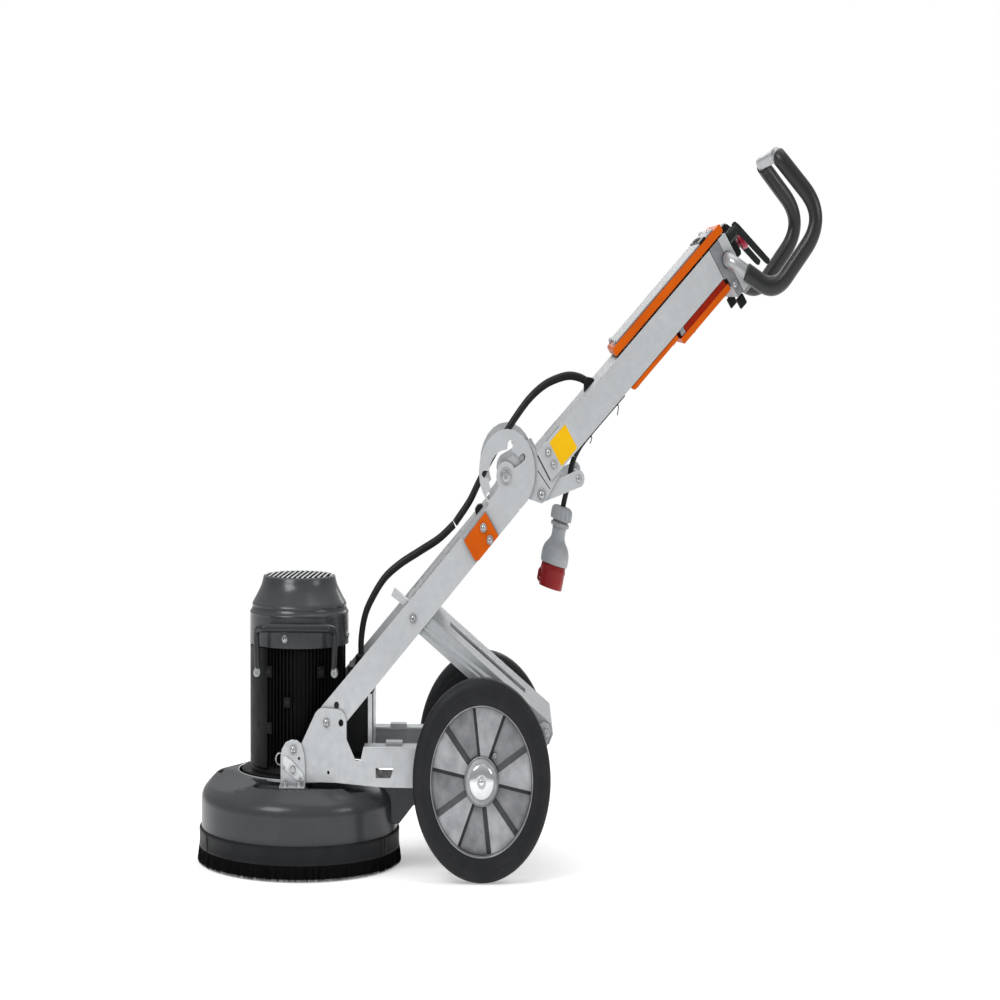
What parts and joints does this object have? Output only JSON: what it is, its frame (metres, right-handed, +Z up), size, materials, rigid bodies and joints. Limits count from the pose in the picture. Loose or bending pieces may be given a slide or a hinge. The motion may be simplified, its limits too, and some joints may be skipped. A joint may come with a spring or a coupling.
{
  "type": "concrete floor grinder",
  "caption": "Walk-behind planetary floor grinder: round shrouded grinding head with an upright motor, two wheels, folding sheet-metal arm and loop handlebar.",
  "frame": {"origin": "centre of the bounding box's footprint, on the floor", "axes": "+X back towards the operator and handlebar, -Y the operator's left, +Z up"},
  "size_m": [1.4782, 0.5, 1.14],
  "materials": {
    "galvanised": "hot-dip zinc plated steel sheet, satin",
    "bright_steel": "zinc plated or ground steel",
    "cast_alu": "cast, as-cast satin grain",
    "shell_grey": "dark grey semi-gloss powder coat",
    "motor_black": "black satin paint",
    "rubber": "black matt rubber",
    "tyre_rubber": "solid black rubber",
    "bristle": "black nylon bristle",
    "orange_paint": "orange powder coat",
    "red_plastic": "red moulded plastic",
    "plug_grey": "grey moulded plastic",
    "black_plastic": "black moulded plastic",
    "copper_iron": "laminated core with copper winding",
    "iron": "machined iron"
  },
  "bodies": {
    "chassis": {"axle": "bright_steel", "side_plate_left": "galvanised", "side_plate_right": "galvanised", "lower_arm": "galvanised", "rear_strut": "galvanised", "fold_disc_left": "galvanised", "fold_disc_right": "galvanised", "arm_block_left": "orange_paint", "arm_block_right": "orange_paint", "fold_pivot_pin": "bright_steel", "motor_cable_lower": "rubber", "motor_cable_upper": "rubber"},
    "wheel_left": {"tyre_left": "tyre_rubber", "rim_left": "cast_alu"},
    "wheel_right": {"tyre_right": "tyre_rubber", "rim_right": "cast_alu"},
    "head": {"shroud": "shell_grey", "motor_housing": "motor_black", "lower_bearing": "bright_steel", "upper_bearing": "bright_steel", "stator": "copper_iron", "fan_cowl": "shell_grey", "lifting_handle": "motor_black", "terminal_box": "motor_black", "pivot_bracket_left": "galvanised", "pivot_bracket_right": "galvanised", "ring_gear": "bright_steel"},
    "release_pin_left": {"release_pin_left": "bright_steel"},
    "release_pin_right": {"release_pin_right": "bright_steel"},
    "skirt": {"skirt_band": "rubber", "brush_skirt": "bristle"},
    "rotor": {"rotor_shaft": "bright_steel", "cooling_fan": "black_plastic"},
    "carrier": {"planet_carrier": "iron", "carrier_bearing": "bright_steel"},
    "tool_1": {"planet_spindle_1": "bright_steel", "tool_disc_1": "iron"},
    "tool_2": {"planet_spindle_2": "bright_steel", "tool_disc_2": "iron"},
    "tool_3": {"planet_spindle_3": "bright_steel", "tool_disc_3": "iron"},
    "upper_arm": {"upper_arm": "galvanised", "fork_bracket": "galvanised", "top_cover": "orange_paint", "bottom_cover": "orange_paint", "control_box": "orange_paint", "clamp_base": "cast_alu", "clamp_cap": "cast_alu", "estop_housing": "black_plastic", "supply_cable": "rubber"},
    "lock_lever": {"lock_lever": "galvanised"},
    "lock_pin": {"lock_pin": "bright_steel"},
    "handlebar": {"handlebar": "galvanised", "grip_left": "rubber", "grip_right": "rubber"},
    "clamp_lever_left": {"clamp_lever_left": "black_plastic"},
    "clamp_lever_right": {"clamp_lever_right": "black_plastic"},
    "estop_button": {"estop_button": "red_plastic"},
    "plug": {"plug_body": "plug_grey", "plug_front": "red_plastic"}
  },
  "joints": [
    {"name": "wheel_left_spin", "type": "hinge", "parent": "chassis", "child": "wheel_left", "pos_m": [-0.05804, -0.22, 0.16], "axis": [0, 1, 0], "continuous": true},
    {"name": "wheel_right_spin", "type": "hinge", "parent": "chassis", "child": "wheel_right", "pos_m": [-0.05804, 0.22, 0.16], "axis": [0, 1, 0], "continuous": true},
    {"name": "head_tilt", "type": "hinge", "parent": "chassis", "child": "head", "pos_m": [-0.50104, 0, 0.1667], "axis": [0, 1, 0], "range_deg": [-4, 4], "deforming": ["motor_cable_lower"]},
    {"name": "release_pin_left_pull", "type": "slide", "parent": "chassis", "child": "release_pin_left", "axis": [0, 1, 0], "range_m": [0, 0.008], "stiffness_N_per_m": 400},
    {"name": "release_pin_right_pull", "type": "slide", "parent": "chassis", "child": "release_pin_right", "axis": [0, -1, 0], "range_m": [0, 0.008], "stiffness_N_per_m": 400},
    {"name": "skirt_float", "type": "slide", "parent": "head", "child": "skirt", "axis": [0, 0, 1], "range_m": [0, 0.012]},
    {"name": "carrier_spin", "type": "hinge", "parent": "head", "child": "carrier", "pos_m": [-0.49904, 0, 0.075], "axis": [0, 0, 1], "continuous": true},
    {"name": "rotor_spin", "type": "hinge", "parent": "head", "child": "rotor", "pos_m": [-0.49904, 0, 0.25], "axis": [0, 0, 1], "continuous": true},
    {"name": "tool_1_spin", "type": "hinge", "parent": "carrier", "child": "tool_1", "pos_m": [-0.36404, 0, 0.06], "axis": [0, 0, 1], "continuous": true},
    {"name": "tool_2_spin", "type": "hinge", "parent": "carrier", "child": "tool_2", "pos_m": [-0.56654, 0.11691, 0.06], "axis": [0, 0, 1], "continuous": true},
    {"name": "tool_3_spin", "type": "hinge", "parent": "carrier", "child": "tool_3", "pos_m": [-0.56654, -0.11691, 0.06], "axis": [0, 0, 1], "continuous": true},
    {"name": "arm_fold", "type": "hinge", "parent": "chassis", "child": "upper_arm", "pos_m": [-0.00154, 0, 0.6267], "axis": [0, -1, 0], "range_deg": [0, 139.5], "deforming": ["motor_cable_upper"]},
    {"name": "lock_lever_pull", "type": "hinge", "parent": "upper_arm", "child": "lock_lever", "pos_m": [0.08196, 0, 0.5977], "axis": [0, 1, 0], "range_deg": [0, 20]},
    {"name": "lock_pin_slide", "type": "slide", "parent": "upper_arm", "child": "lock_pin", "axis": [0, -1, 0], "range_m": [0, 0.009]},
    {"name": "handlebar_tilt", "type": "hinge", "parent": "upper_arm", "child": "handlebar", "pos_m": [0.51906, 0, 0.96262], "axis": [0, 1, 0], "range_deg": [-25, 25]},
    {"name": "clamp_lever_left_turn", "type": "hinge", "parent": "upper_arm", "child": "clamp_lever_left", "pos_m": [0.52211, -0.105, 0.99459], "axis": [0.7902, 0, 0.6129], "range_deg": [-45, 45]},
    {"name": "clamp_lever_right_turn", "type": "hinge", "parent": "upper_arm", "child": "clamp_lever_right", "pos_m": [0.52211, 0.105, 0.99459], "axis": [0.7902, 0, 0.6129], "range_deg": [-45, 45]},
    {"name": "estop_press", "type": "slide", "parent": "upper_arm", "child": "estop_button", "axis": [-0.7902, 0, -0.6129], "range_m": [0, 0.006], "stiffness_N_per_m": 500},
    {"name": "plug_swing", "type": "hinge", "parent": "upper_arm", "child": "plug", "pos_m": [0.16396, 0, 0.65], "axis": [0, 1, 0], "range_deg": [-5, 20]}
  ],
  "couplings": [
    {"joint": "rotor_spin", "follows": "carrier_spin", "ratio": 5},
    {"joint": "tool_1_spin", "follows": "carrier_spin", "ratio": -2.6667},
    {"joint": "tool_2_spin", "follows": "carrier_spin", "ratio": -2.6667},
    {"joint": "tool_3_spin", "follows": "carrier_spin", "ratio": -2.6667},
    {"joint": "lock_pin_slide", "follows": "lock_lever_pull", "m_per_rad": 0.025773}
  ]
}
